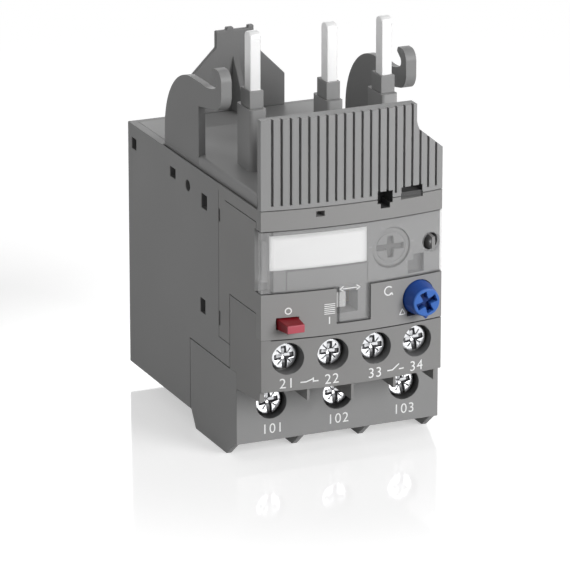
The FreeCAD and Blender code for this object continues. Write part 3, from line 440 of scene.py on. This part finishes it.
def soften(name, width):
    # merged copy of a moulding, with every edge sharper than 35 degrees rounded to the width
    mesh = nodes[name].data.copy()
    graph = bmesh.new()
    graph.from_mesh(mesh)
    bmesh.ops.remove_doubles(graph, verts=graph.verts, dist=0.002 * mm)
    bmesh.ops.dissolve_limit(graph, angle_limit=math.radians(0.4), verts=graph.verts, edges=graph.edges)
    sharp = [e for e in graph.edges if len(e.link_faces) == 2 and e.calc_face_angle(0) > math.radians(35)]
    bmesh.ops.bevel(graph, geom=sharp, offset=width * mm, offset_type="OFFSET", segments=2, profile=0.5,
                    affect="EDGES", clamp_overlap=True, harden_normals=False)
    graph.to_mesh(mesh)
    graph.free()
    mesh.polygons.foreach_set("use_smooth", np.ones(len(mesh.polygons), bool))
    mesh.set_sharp_from_angle(angle=math.radians(50))
    for number, (accent, chosen) in enumerate(inked.get(name, []), start=1):
        mesh.materials.append(accents[accent])
        for face in mesh.polygons:
            if chosen(*(face.center / mm), face.normal):
                face.material_index = number
    made = bpy.data.objects.new(name + "_moulding", mesh)
    bpy.context.scene.collection.objects.link(made)
    flat = made.modifiers.new("flatFaces", "WEIGHTED_NORMAL")
    flat.keep_sharp = True
    flat.weight = 80
    return fit(made, name)


for name, width in softened.items():
    soften(name, width)
print("softened", len(softened), "parts")


# the recess in a screw head; painted shade darkens its arms' walls, and their floors too beyond shadeFrom
drive = {"rings": 62, "columns": 168, "crown": 0.16, "edge": 0.3, "armHalf": 0.46, "armReach": 2.05, "deep": 1.05,
         "shallow": 0.45, "slotHalf": 0.42, "slotDeep": 0.62, "line": 0.1, "lineReach": 2.1, "lineSoft": 0.08,
         "lineDeep": 0.22, "soft": 0.3, "shadeFrom": 1.45}


def ease(v):
    # 0 below 0, 1 above 1, and 3v^2 - 2v^3 between
    v = np.clip(v, 0, 1)
    return v * v * (3 - 2 * v)


def bar(along, across, half, reach, soft):
    # 1 inside a bar of that half width and reach, falling to 0 over the soft edge
    return ease((half - np.abs(across)) / soft + 0.5) * ease((reach - np.abs(along)) / soft + 0.5)


def lathe(radii, heights, columns):
    # points (r cos a, y, r sin a) for every row radius and column angle; radii and heights may vary along a row
    angle = np.linspace(0, 2 * np.pi, columns, endpoint=False)[None, :]
    r = np.broadcast_to(radii, (len(radii), columns)) if np.ndim(radii) == 2 else np.repeat(
        np.asarray(radii, float)[:, None], columns, 1)
    y = heights if np.ndim(heights) == 2 else np.repeat(np.asarray(heights, float)[:, None], columns, 1)
    return np.stack([r * np.cos(angle), y, r * np.sin(angle)], -1)


def addLathe(points, faces, marked, rows, centre, recess=None):
    # rows of points about the axis, closed with one point at each end, go on the end of the lists;
    # recess says how far every point takes the painted shade of a recess, and marked collects whether each face takes
    # it
    start = sum(len(p) for p in points)
    count, columns = rows.shape[:2]
    flat = rows.reshape(-1, 3) + np.asarray(centre)
    ends = np.array([[0, rows[0, :, 1].mean(), 0], [0, rows[-1, :, 1].mean(), 0]]) + np.asarray(centre)
    points.append(np.concatenate([flat, ends]))
    faces += gridFaces(count, columns, start)
    c = np.arange(columns)
    near, far = start + count * columns, start + count * columns + 1
    last = start + (count - 1) * columns
    faces += np.stack([start + (c + 1) % columns, start + c, np.full(columns, near)], -1)[:, ::-1].tolist()
    faces += np.stack([last + c, last + (c + 1) % columns, np.full(columns, far)], -1)[:, ::-1].tolist()
    level = np.zeros((count, columns)) if recess is None else np.pad(recess, ((0, count - len(recess)), (0, 0)))
    beside = np.roll(level, -1, 1)
    quads = (level[:-1] + beside[:-1] + level[1:] + beside[1:]) / 4
    marked += (quads.reshape(-1) > 0.5).tolist() + [recess is not None] * columns + [False] * columns


def headRows(screw, turn):
    # domed disc; a cross whose arms rise outwards, a slot from it down through the rim, and four fine lines between
    # the arms
    radius = screw["radius"]
    r = np.linspace(0.02, 1, drive["rings"])[:, None] * radius
    angle = np.linspace(0, 2 * np.pi, drive["columns"], endpoint=False)[None, :]
    a = angle - math.radians(turn)
    u, v = r * np.cos(a), r * np.sin(a)
    soft, half = drive["soft"], drive["armHalf"]
    floor = drive["deep"] - (drive["deep"] - drive["shallow"]) * np.clip(r / drive["armReach"], 0, 1)
    arms = np.maximum(bar(u, v, half, drive["armReach"], soft), bar(v, u, half, drive["armReach"], soft)) * floor
    slot = bar(v, u, drive["slotHalf"], radius * 2, soft) * (v < 0) * drive["slotDeep"]
    p, q = (u + v) / math.sqrt(2), (u - v) / math.sqrt(2)
    fine = (drive["line"], drive["lineReach"], drive["lineSoft"])
    lines = np.maximum(bar(p, q, *fine), bar(q, p, *fine)) * drive["lineDeep"]
    over = np.clip(r - (radius - drive["edge"]), 0, drive["edge"])
    rounding = drive["edge"] - np.sqrt(drive["edge"] ** 2 - over ** 2)
    y = drive["crown"] * (r / radius) ** 2 + rounding + np.maximum(np.maximum(arms, slot), lines)
    y = np.minimum(y, screw["height"] - 0.1)
    low = np.full((1, drive["columns"]), screw["height"])
    radii = np.concatenate([np.broadcast_to(r, y.shape), np.full_like(low, radius), np.full_like(low, radius * 0.97)])
    # the walls and outer floors of the arms, the lower part of the slot and the fine lines take the painted recess
    # shade
    share = arms / floor
    wall = 1.0 * ((share > 0.04) & ((share < 0.97) | (r > drive["shadeFrom"])))
    dark = np.maximum(np.maximum(wall, slot / drive["slotDeep"] * (v < -0.7)), lines / drive["lineDeep"])
    return lathe(radii, np.concatenate([y, low - 0.06, low]), drive["columns"]), dark


def shankRows(screw, start, end):
    # rod whose radius follows a triangle wave of the height plus the angle, which is a screw thread
    columns = 30
    y = np.arange(start, end - 0.4, screw["pitch"] / 6)[:, None]
    angle = np.linspace(0, 1, columns, endpoint=False)[None, :]
    wave = np.abs(((y / screw["pitch"] + angle) % 1) - 0.5) * 2
    radii = screw["shank"] - screw["pitch"] * 0.34 * wave
    tip = np.full((1, columns), screw["shank"] * 0.55)
    heights = np.concatenate([np.broadcast_to(y, radii.shape), np.full((1, columns), end)])
    return lathe(np.concatenate([radii, tip]), heights, columns)


def screws(name, node, screw, faceAt):
    points, faces, marked = [], [], []
    for x, turn in zip(screw["xs"], screw["turns"]):
        face = faceAt(x)
        rows, dark = headRows(screw, turn)
        addLathe(points, faces, marked, rows, (x, face, screw["axis"]), dark)
        shank = shankRows(screw, screw["height"] - 0.3, behind(screw["tip"]) - face)
        addLathe(points, faces, marked, shank, (x, face, screw["axis"]))
    piece = addMesh(name, np.concatenate(points), faces, finishes["zinc"], 55, ["recess"], marked)
    return fit(piece, node)


screws("auxScrewSet", "aux_screws", auxScrew, lambda x: frontAt(x) + auxScrew["sunk"])
screws("mainScrewSet", "main_screws", mainScrew, lambda x: behind(mainScrew["sunk"]))
print("screws")


knob = {"x": 11.6, "z": 34.75, "base": 3.55, "face": 2.9, "reach": 3.98, "round": 0.28, "armHalf": 0.56,
        "armReach": 2.15, "soft": 0.12, "deep": 1.6, "turn": 22, "pointer": 0.5, "rings": 46, "columns": 160}


def resetKnob():
    # cone with a rounded rim, a deep cross in its face and a small pointer rib on its underside
    root = frontAt(knob["x"])
    start = root - knob["reach"]
    r = np.linspace(0.02, 1, knob["rings"])[:, None] * knob["face"]
    angle = np.linspace(0, 2 * np.pi, knob["columns"], endpoint=False)[None, :]
    a = angle - math.radians(knob["turn"])
    u, v = r * np.cos(a), r * np.sin(a)
    flare = knob["armHalf"] + 0.1 * ease((np.abs(u) - 1.2) / 0.8) + 0.1 * ease((np.abs(v) - 1.2) / 0.8)
    arm = (flare, knob["armReach"], knob["soft"])
    cross = np.maximum(bar(u, v, *arm), bar(v, u, *arm))
    over = np.clip(r - (knob["face"] - knob["round"]), 0, knob["round"])
    rim = knob["round"] - np.sqrt(np.maximum(knob["round"] ** 2 - over ** 2, 0))
    face = rim + cross * knob["deep"]
    sideY = np.array([0.5, 1.0, 1.6, 2.3, 3.0, 3.6, knob["reach"], behind(3.0) - start])[:, None]
    grow = np.clip(sideY / knob["reach"], 0, 1)
    sideR = knob["face"] + (knob["base"] - knob["face"]) * grow
    rib = knob["pointer"] * np.exp(-(((angle - 1.5 * np.pi) / 0.13) ** 2)) * ease(1.6 - sideY)
    radii = np.concatenate([np.broadcast_to(r, face.shape), sideR + rib])
    y = np.concatenate([face, np.broadcast_to(sideY, (len(sideY), knob["columns"]))])
    points, faces, marked = [], [], []
    # the cross is marked for a darker blue, which is painted shade
    addLathe(points, faces, marked, lathe(radii, y, knob["columns"]), (knob["x"], start, knob["z"]), cross)
    # the face round the cross takes a lighter blue, which is painted light
    onFace = np.zeros(len(faces), int)
    onFace[:(knob["rings"] - 1) * knob["columns"]] = 2
    piece = addMesh("resetKnobCap", np.concatenate(points), faces, finishes["blue"], 50, ["blueRecessShade", "knobFaceLit"],
                    np.where(marked, 1, onFace))
    return fit(piece, "reset_knob")


dial = {"x": 5.7, "z": 45.825, "radius": 4.15, "shaft": 1.5, "thick": 1.6, "shaftEnd": 7.4, "armHalf": 0.58,
        "armReach": 2.95, "upHalf": 0.8, "upReach": 2.2, "soft": 0.14, "deep": 0.85, "ring": 3.15, "ringHalf": 0.16,
        "teeth": 28, "rings": 52, "columns": 168}


def dialWheel():
    # disc with a cross, a ring groove, and a rim with fine teeth; its shaft runs back into the housing
    r = np.linspace(0.02, 1, dial["rings"])[:, None] * dial["radius"]
    angle = np.linspace(0, 2 * np.pi, dial["columns"], endpoint=False)[None, :]
    u, v = r * np.cos(angle), r * np.sin(angle)
    taper = dial["upHalf"] - 0.26 * np.clip(np.abs(v) / dial["upReach"], 0, 1)
    cross = np.maximum(bar(u, v, dial["armHalf"], dial["armReach"], dial["soft"]),
                       bar(v, u, taper, dial["upReach"], dial["soft"]))
    ring = ease((dial["ringHalf"] - np.abs(r - dial["ring"])) / 0.1 + 0.5) * 0.14
    edge = ease((r - dial["radius"] + 0.3) / 0.3) * 0.25
    y = np.maximum(cross * dial["deep"], ring) + edge
    teeth = 0.07 * np.cos(angle * dial["teeth"])
    wall = np.array([0.35, dial["thick"] - 0.1])[:, None]
    wallR = dial["radius"] - 0.08 + teeth * np.ones_like(wall)
    back = np.full((1, dial["columns"]), dial["thick"])
    end = np.full((1, dial["columns"]), dial["shaftEnd"])
    radii = np.concatenate([np.broadcast_to(r, y.shape), wallR, np.full_like(back, dial["radius"] - 0.2),
                            np.full_like(back, dial["shaft"]), np.full_like(end, dial["shaft"])])
    heights = np.concatenate([y, np.broadcast_to(wall, wallR.shape), back, back, end])
    points, faces, marked = [], [], []
    rows = lathe(radii, heights, dial["columns"])
    # the cross takes a darker grey, which is painted shade
    addLathe(points, faces, marked, rows, (dial["x"], behind(0.0), dial["z"]), cross)
    piece = addMesh("dialWheel", np.concatenate(points), faces, finishes["dial_grey"], 40, ["dialRecessShade"], marked)
    return fit(piece, "dial")


springs = {
    "stop_spring": {"radius": 1.5, "turns": 5.0, "wire": 0.2, "joint": "stop_push", "travel": 2.0},
    "reset_spring": {"radius": 2.2, "turns": 4.5, "wire": 0.2, "joint": "reset_push", "travel": 2.0},
}


def spring(node, make):
    # wire carried along a helix, centre (R cos t, y(t), R sin t), with the coils closer together at both ends
    t = np.linspace(0, 1, int(make["turns"] * 26))[:, None]
    spread = t - 0.06 * np.sin(2 * np.pi * t)
    swing = 2 * np.pi * make["turns"] * t
    low, high = (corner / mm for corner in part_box(node))
    length = high.y - low.y - 2 * make["wire"]
    y = make["wire"] + length * np.clip(spread, 0, 1)
    section = np.linspace(0, 2 * np.pi, 10, endpoint=False)[None, :]
    r = make["radius"] + make["wire"] * np.cos(section)
    grid = np.stack([r * np.cos(swing), y + make["wire"] * np.sin(section), r * np.sin(swing)], -1)
    rows, columns = grid.shape[:2]
    flat = grid.reshape(-1, 3) + np.array([(low.x + high.x) / 2, low.y, (low.z + high.z) / 2])
    caps = [list(range(columns)), list(range((rows - 1) * columns, rows * columns))[::-1]]
    piece = fit(addMesh(node + "_coil", flat, gridFaces(rows, columns) + caps, finishes["spring"], 60), node)
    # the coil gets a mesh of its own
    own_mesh(piece)


resetKnob()
dialWheel()
for node, make in springs.items():
    spring(node, make)
print("knob, dial and springs")


marks = {
    "lift": 0.03, "stroke": 0.27, "steps": 28, "size": 3.0, "halfHeight": 1.0, "spacing": 1.12,
    "aux": [("21", -17.3, 20.37), ("22", -7.86, 20.37), ("33", 1.63, 20.37), ("34", 11.17, 20.3)],
    "main": [("101", -14.6, 6.05), ("102", 0.0, 6.15), ("103", 14.8, 6.2)],
}


def drape(flat, faceAt):
    # every point (u, v) of a flat mesh goes to (u, face of the moulding there less the lift, v)
    flat = np.asarray(flat, float)
    y = np.asarray([faceAt(u) for u in flat[:, 0]]) - marks["lift"]
    return np.stack([flat[:, 0], y, flat[:, 1]], -1)


def figure(text, x, z, faceAt):
    # plain figures, made a mesh, cut every half millimetre across and laid on the moulding
    curve = bpy.data.curves.new("figure", "FONT")
    size = marks["size"]
    curve.body = text
    curve.size = size
    curve.space_character = marks["spacing"]
    curve.align_x = "CENTER"
    curve.resolution_u = 6
    stand = bpy.data.objects.new("figure", curve)
    mesh = bpy.data.meshes.new_from_object(stand)
    graph = bmesh.new()
    graph.from_mesh(mesh)
    for cut in np.arange(-size * len(text), size * len(text), 0.5):
        everything = graph.verts[:] + graph.edges[:] + graph.faces[:]
        bmesh.ops.bisect_plane(graph, geom=everything, plane_co=(cut, 0, 0), plane_no=(1, 0, 0))
    flat = [(v.co.x + x, v.co.y + z - marks["halfHeight"]) for v in graph.verts]
    faces = [[v.index for v in f.verts] for f in graph.faces]
    graph.free()
    bpy.data.objects.remove(stand)
    bpy.data.curves.remove(curve)
    return drape(flat, faceAt), faces


def stroke(path, faceAt, wide=None):
    # flat band along a path of (x, z) points, divided into short steps
    path = np.asarray(path, float)
    run = np.concatenate([[0], np.cumsum(np.hypot(*np.diff(path, axis=0).T))])
    at = np.unique(np.concatenate([run, np.linspace(0, run[-1], marks["steps"])]))
    line = np.stack([np.interp(at, run, path[:, i]) for i in (0, 1)], -1)
    along = np.gradient(line, axis=0)
    along /= np.maximum(np.hypot(*along.T), 1e-9)[:, None]
    side = np.stack([-along[:, 1], along[:, 0]], -1) * (wide or marks["stroke"]) / 2
    flat = np.stack([line + side, line - side], 1).reshape(-1, 2)
    faces = [[2 * i, 2 * i + 1, 2 * i + 3, 2 * i + 2] for i in range(len(line) - 1)]
    return drape(flat, faceAt), faces


def arc(x, z, radius, start, end):
    angle = np.radians(np.linspace(start, end, 25))
    return np.stack([x + radius * np.cos(angle), z + radius * np.sin(angle)], -1)


def printed(name, shapes, node, finish):
    # one piece of all these shapes, turned to face outwards, that rides with the node
    points, faces, start = [], [], 0
    for flat, more in shapes:
        points.append(flat)
        faces += [[i + start for i in face] for face in more]
        start += len(flat)
    piece = addMesh(name, np.concatenate(points), faces, finish)
    graph = bmesh.new()
    graph.from_mesh(piece.data)
    for face in graph.faces:
        if face.normal.y > 0:
            face.normal_flip()
    graph.to_mesh(piece.data)
    graph.free()
    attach(piece, bodyOf[node])


def mainFace(x):
    return behind(front["setback"])


def panelFloor(x):
    return frontAt(x) + 1.0


def panelStep(x):
    return frontAt(x) + 1.15


def coverFace(x):
    return frontAt(x) + 0.02


auxMarks = [figure(text, x, z, frontAt) for text, x, z in marks["aux"]]
for x, rise in ((-12.6, 0.55), (6.3, 1.1)):  # a closed and an open contact
    auxMarks += [stroke([(x - 1.9, 20.3), (x - 0.7, 20.3), (x + 0.8, 20.3 + rise)], frontAt)]
    auxMarks += [stroke([(x + 0.8, 20.3), (x + 1.9, 20.3)], frontAt)]
auxMarks += [stroke([(-11.8, 20.1), (-11.8, 21.1)], frontAt)]
printed("auxMarks", auxMarks, "aux_block", accents["print"])
mainMarks = [figure(text, x, z, mainFace) for text, x, z in marks["main"]]
printed("mainMarks", mainMarks, "main_block", accents["print"])
panelMarks = [
    stroke(arc(-17.0, 35.55, 0.62, 0, 360), frontAt),
    stroke(arc(4.6, 37.2, 0.9, 40, 320), frontAt),
    stroke([(5.55, 36.25), (5.32, 36.7), (4.87, 36.52)], frontAt),
    stroke([(7.15, 31.75), (7.8, 32.95), (8.45, 31.75), (7.15, 31.75)], frontAt, 0.22),
    stroke([(-8.4, 32.0), (-8.4, 33.5)], frontAt),
]
for step in range(6):  # hatched patch beside the window
    panelMarks.append(stroke([(-9.5, 34.15 + 0.4 * step), (-7.2, 34.15 + 0.4 * step)], frontAt, 0.16))
printed("panelMarks", panelMarks, "front_housing", accents["print"])
# a painted shade line along the foot of the panel's step, laid like the print
step = stroke([(-16.95, 39.7), (-16.95, 43.55), (0.0, 43.55)], panelStep, 0.36)
printed("stepShade", [step], "front_housing", accents["panelShade"])
slideMarks = [stroke([(-5.6, 39.0), (-2.4, 39.0)], coverFace, 0.2)]
for tip, turn in ((-6.2, 1), (-1.8, -1)):  # arrow heads of the slide direction
    slideMarks.append(stroke([(tip + 0.8 * turn, 38.5), (tip, 39.0), (tip + 0.8 * turn, 39.5)], coverFace, 0.2))
printed("slideMarks", slideMarks, "clear_cover", accents["print"])
ticks = []
for step in range(11):
    angle = math.radians(225 - 27 * step)
    inner, outer = (4.55, 5.15) if step % 2 == 0 else (4.55, 4.85)
    ticks.append(stroke([(dial["x"] + r * math.cos(angle), dial["z"] + r * math.sin(angle)) for r in (inner, outer)],
                        panelFloor, 0.16))
printed("dialScale", ticks, "front_housing", accents["scale"])
print("printed marks")

view = {
    "spot": (-406.3, behind(-891.65), 358.94), "right": (0.91657, -0.39987, 0.0), "up": (0.12430, 0.28491, 0.95045),
    "ahead": (0.38006, 0.87116, -0.31084), "lens": 325.2, "sensor": 36.0,
}
camera = bpy.data.objects.new("camera", bpy.data.cameras.new("camera"))
camera.data.lens = view["lens"]
camera.data.sensor_width = view["sensor"]
camera.data.clip_start = 0.05
camera.data.clip_end = 20.0
columns = [Vector(view["right"]), Vector(view["up"]), -Vector(view["ahead"])]
camera.matrix_world = Matrix.Translation(Vector(view["spot"]) * mm) @ Matrix(columns).transposed().to_4x4()
bpy.context.scene.collection.objects.link(camera)
bpy.context.scene.camera = camera

# the floor's width in metres, the lamps in watts, and the distances of the floor's changes in millimetres
studio = {"floor": 6.0, "key": 9.9, "fill": 0.62, "back": 2.1, "sky": 0.27, "behindCamera": 0.35,
          "polishGlow": 0.48, "mattGlow": 0.61, "mirrorFrom": 45, "mirrorTo": 115, "whiteFrom": 110, "whiteTo": 330}


def lookedAt(paint):
    # 1 for what the camera sees, straight or in a mirror or through a window
    camera, glossy, through = [paint.node("LightPath", None, None, "Is %s Ray" % kind)
                               for kind in ("Camera", "Glossy", "Transmission")]
    return camera.maths("MAXIMUM", camera.maths("MAXIMUM", camera, glossy), through)


def paleFloor():
    # pale table top, polished round the object, matt further away, where the mirror image has faded, and white at last;
    # light that bounces off it to the object comes from a greyer one
    paint = Paint("paleFloor")
    clouds = paint.noise(60.0, 2.0)
    colour = paint.blend(clouds, (0.84, 0.84, 0.84, 1), (0.87, 0.87, 0.87, 1))
    polished = paint.node("BsdfPrincipled", None, {
        "Base Color": colour, "Roughness": 0.07, "Specular IOR Level": 0.5,
        "Emission Color": (1, 1, 1, 1), "Emission Strength": studio["polishGlow"]})
    matt = paint.node("BsdfPrincipled", None, {
        "Base Color": colour, "Roughness": 0.9, "Specular IOR Level": 0.0,
        "Emission Color": (1, 1, 1, 1), "Emission Strength": studio["mattGlow"]})
    here = paint.node("TexCoord", None, None, "Object")
    away = paint.node("VectorMath", {"operation": "LENGTH"}, {0: here}, "Value") * 1000
    fade = paint.node("MapRange", {"interpolation_type": "SMOOTHSTEP"}, {
        "Value": away, "From Min": studio["mirrorFrom"], "From Max": studio["mirrorTo"]})
    near = paint.node("MixShader", None, {0: fade, 1: polished, 2: matt})
    white = paint.node("Emission", None, {"Color": (1, 1, 1, 1), "Strength": 1.0})
    distance = paint.node("MapRange", {"interpolation_type": "SMOOTHSTEP"}, {
        "Value": away, "From Min": studio["whiteFrom"], "From Max": studio["whiteTo"]})
    shown = paint.node("MixShader", None, {0: distance, 1: near, 2: white})
    bounced = paint.node("BsdfDiffuse", None, {"Color": (0.36, 0.36, 0.36, 1)})
    return paint.show(paint.node("MixShader", None, {0: lookedAt(paint), 1: bounced, 2: shown}))


half = studio["floor"] * 1000 / 2
floor = addMesh("floor", [(-half, -half, 0), (half, -half, 0), (half, half, 0), (-half, half, 0)], [[0, 1, 2, 3]],
                paleFloor())


def softBox(name, spot, size, power):
    # square lamp of that size in metres, turned to the middle of the object
    lamp = bpy.data.lights.new(name, "AREA")
    lamp.shape = "SQUARE"
    lamp.size = size
    lamp.energy = power
    made = bpy.data.objects.new(name, lamp)
    made.location = Vector(spot) * mm
    made.rotation_mode = "QUATERNION"
    made.rotation_quaternion = (Vector((0, 0, 40)) * mm - made.location).to_track_quat("-Z", "Y")
    bpy.context.scene.collection.objects.link(made)


softBox("keyBox", (420, -950, 420), 0.5, studio["key"])
softBox("fillBox", (-1000, -300, 300), 0.7, studio["fill"])
softBox("backBox", (150, 950, 120), 0.6, studio["back"])

# plain white wherever it is looked at or mirrored, but a dimmer room on the camera's side of the object
world = bpy.data.worlds.new("studio")
bpy.context.scene.world = world
room = Paint("room", world)
direction = room.node("TexCoord", None, None, "Generated")
ahead = room.node("VectorMath", {"operation": "DOT_PRODUCT"}, {0: direction, 1: (0.2, 1.0, 0.0)}, "Value")
backdrop = room.node("MapRange", None, {"Value": ahead, "From Min": -0.5, "From Max": 0.1,
                                        "To Min": studio["behindCamera"], "To Max": 1.0})
strength = lookedAt(room) * (backdrop - studio["sky"]) + studio["sky"]
sky = room.node("Background", None, {"Color": (1, 1, 1, 1), "Strength": strength})
result = room.tree.nodes.new("ShaderNodeOutputWorld")
room.tree.links.new(sky.socket, result.inputs["Surface"])
bpy.context.scene.view_settings.view_transform = "Standard"
print("camera, floor and light")
